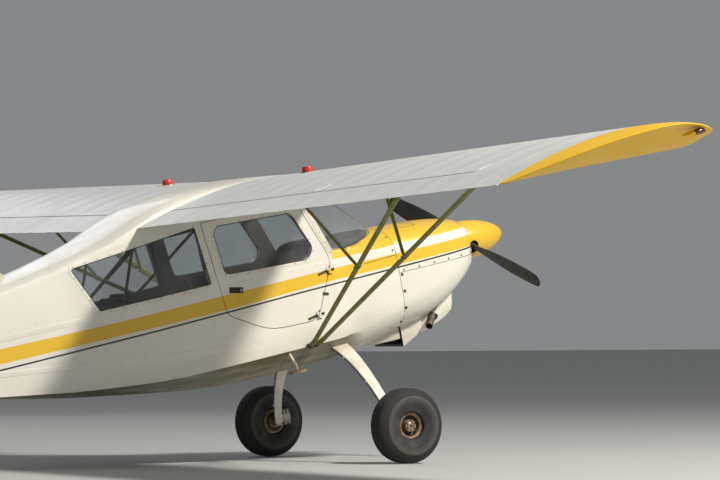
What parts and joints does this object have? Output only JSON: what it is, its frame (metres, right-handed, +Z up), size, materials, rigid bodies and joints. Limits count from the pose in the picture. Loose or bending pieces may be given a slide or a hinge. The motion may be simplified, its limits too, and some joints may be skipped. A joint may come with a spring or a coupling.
{
  "type": "light aircraft",
  "caption": "High-wing light aircraft with tandem seats and a tailwheel, whose propeller, wheels, door, flaps, ailerons, elevator and rudder turn on real hinges.",
  "frame": {"origin": "on the ground under the middle of the aircraft, at the bottom centre of its box", "axes": "+X forward along the ground towards the nose, +Y to the left wing tip, +Z up"},
  "size_m": [6.9638, 11.02, 2.2224],
  "materials": {
    "cream": "gloss paint over fabric and sheet metal",
    "wing_white": "satin paint over fabric",
    "yellow": "gloss paint",
    "olive": "satin paint",
    "dark": "dark satin paint",
    "steel": "bare steel",
    "tyre": "matt rubber",
    "wheel_metal": "worn cast hub",
    "glass": "clear pane",
    "red": "red cap",
    "seat": "padded cloth",
    "interior": "matt panel"
  },
  "bodies": {
    "airframe": {"belly_floor": "cream", "side_wall_left": "cream", "side_wall_right": "cream", "roof_fairing": "cream", "boot_cowl": "cream", "rear_fuselage": "cream", "windscreen": "glass", "window_rear_left": "glass", "window_rear_right": "glass", "window_front_left": "glass", "engine_cowl_upper": "yellow", "engine_cowl_lower": "cream", "engine_block": "steel", "exhaust_pipe": "steel", "wing_left": "wing_white", "wing_tip_left": "yellow", "lift_struts_left": "olive", "jury_struts_left": "olive", "gear_leg_left": "cream", "tailplane_left": "cream", "fuel_cap_left": "red", "tail_stays_upper_left": "steel", "wing_right": "wing_white", "wing_tip_right": "yellow", "lift_struts_right": "olive", "jury_struts_right": "olive", "gear_leg_right": "cream", "tailplane_right": "cream", "fuel_cap_right": "red", "tail_stays_upper_right": "steel", "fin": "cream", "tail_stays_lower": "steel", "tail_spring": "dark", "front_seat_frame": "dark", "front_seat_cushions": "seat", "rear_seat_frame": "dark", "rear_seat_cushions": "seat", "control_sticks": "dark", "instrument_panel": "interior", "cabin_frame": "dark", "foot_step": "steel", "blade_aerial": "cream"},
    "door": {"door_right": "cream", "door_window": "glass"},
    "airscrew": {"propeller": "dark", "spinner": "yellow"},
    "left_flap": {"flap_left": "wing_white"},
    "right_flap": {"flap_right": "wing_white"},
    "left_aileron": {"aileron_left": "wing_white"},
    "right_aileron": {"aileron_right": "wing_white"},
    "left_wheel": {"hub_left": "wheel_metal", "tyre_left": "tyre"},
    "right_wheel": {"hub_right": "wheel_metal", "tyre_right": "tyre"},
    "rudder_surface": {"rudder": "cream"},
    "elevator_surface": {"elevator": "cream"},
    "tail_fork": {"tailwheel_fork": "dark"},
    "tail_wheel": {"tailwheel": "tyre"}
  },
  "joints": [
    {"name": "propeller_spin", "type": "hinge", "parent": "airframe", "child": "airscrew", "pos_m": [3.12059, 0, 1.6741], "axis": [0.9791, 0, 0.2031], "continuous": true},
    {"name": "door_hinge", "type": "hinge", "parent": "airframe", "child": "door", "pos_m": [1.66212, -0.414, 1.443], "axis": [0.2515, 0, 0.9679], "range_deg": [0, 58]},
    {"name": "flap_left_hinge", "type": "hinge", "parent": "airframe", "child": "left_flap", "pos_m": [0.3232, 0.408, 1.80586], "axis": [0.0049, -0.9997, -0.0236], "range_deg": [0, 35]},
    {"name": "flap_right_hinge", "type": "hinge", "parent": "airframe", "child": "right_flap", "pos_m": [0.3232, -0.408, 1.80586], "axis": [-0.0049, -0.9997, 0.0236], "range_deg": [0, 35]},
    {"name": "aileron_left_hinge", "type": "hinge", "parent": "airframe", "child": "left_aileron", "pos_m": [0.31353, 2.384, 1.85246], "axis": [0.0049, -0.9997, -0.0236], "range_deg": [-20, 20]},
    {"name": "aileron_right_hinge", "type": "hinge", "parent": "airframe", "child": "right_aileron", "pos_m": [0.31353, -2.384, 1.85246], "axis": [-0.0049, -0.9997, 0.0236], "range_deg": [-20, 20]},
    {"name": "elevator_hinge", "type": "hinge", "parent": "airframe", "child": "elevator_surface", "pos_m": [-2.81512, 0, 0.59578], "axis": [0, -1, 0], "range_deg": [-26, 22]},
    {"name": "rudder_hinge", "type": "hinge", "parent": "airframe", "child": "rudder_surface", "pos_m": [-2.88452, 0, 0.42818], "axis": [-0.2031, 0, 0.9791], "range_deg": [-25, 25]},
    {"name": "wheel_left_spin", "type": "hinge", "parent": "airframe", "child": "left_wheel", "pos_m": [1.95409, 0.993, 0.277], "axis": [0, 1, 0], "continuous": true},
    {"name": "wheel_right_spin", "type": "hinge", "parent": "airframe", "child": "right_wheel", "pos_m": [1.95409, -0.993, 0.277], "axis": [0, 1, 0], "continuous": true},
    {"name": "tailwheel_swivel", "type": "hinge", "parent": "airframe", "child": "tail_fork", "pos_m": [-2.9481, 0, 0.238], "axis": [0, 0, 1], "continuous": true},
    {"name": "tailwheel_spin", "type": "hinge", "parent": "tail_fork", "child": "tail_wheel", "pos_m": [-3.0101, 0, 0.108], "axis": [0, 1, 0], "continuous": true}
  ],
  "couplings": [
    {"joint": "flap_right_hinge", "follows": "flap_left_hinge", "ratio": 1},
    {"joint": "aileron_right_hinge", "follows": "aileron_left_hinge", "ratio": -1}
  ]
}
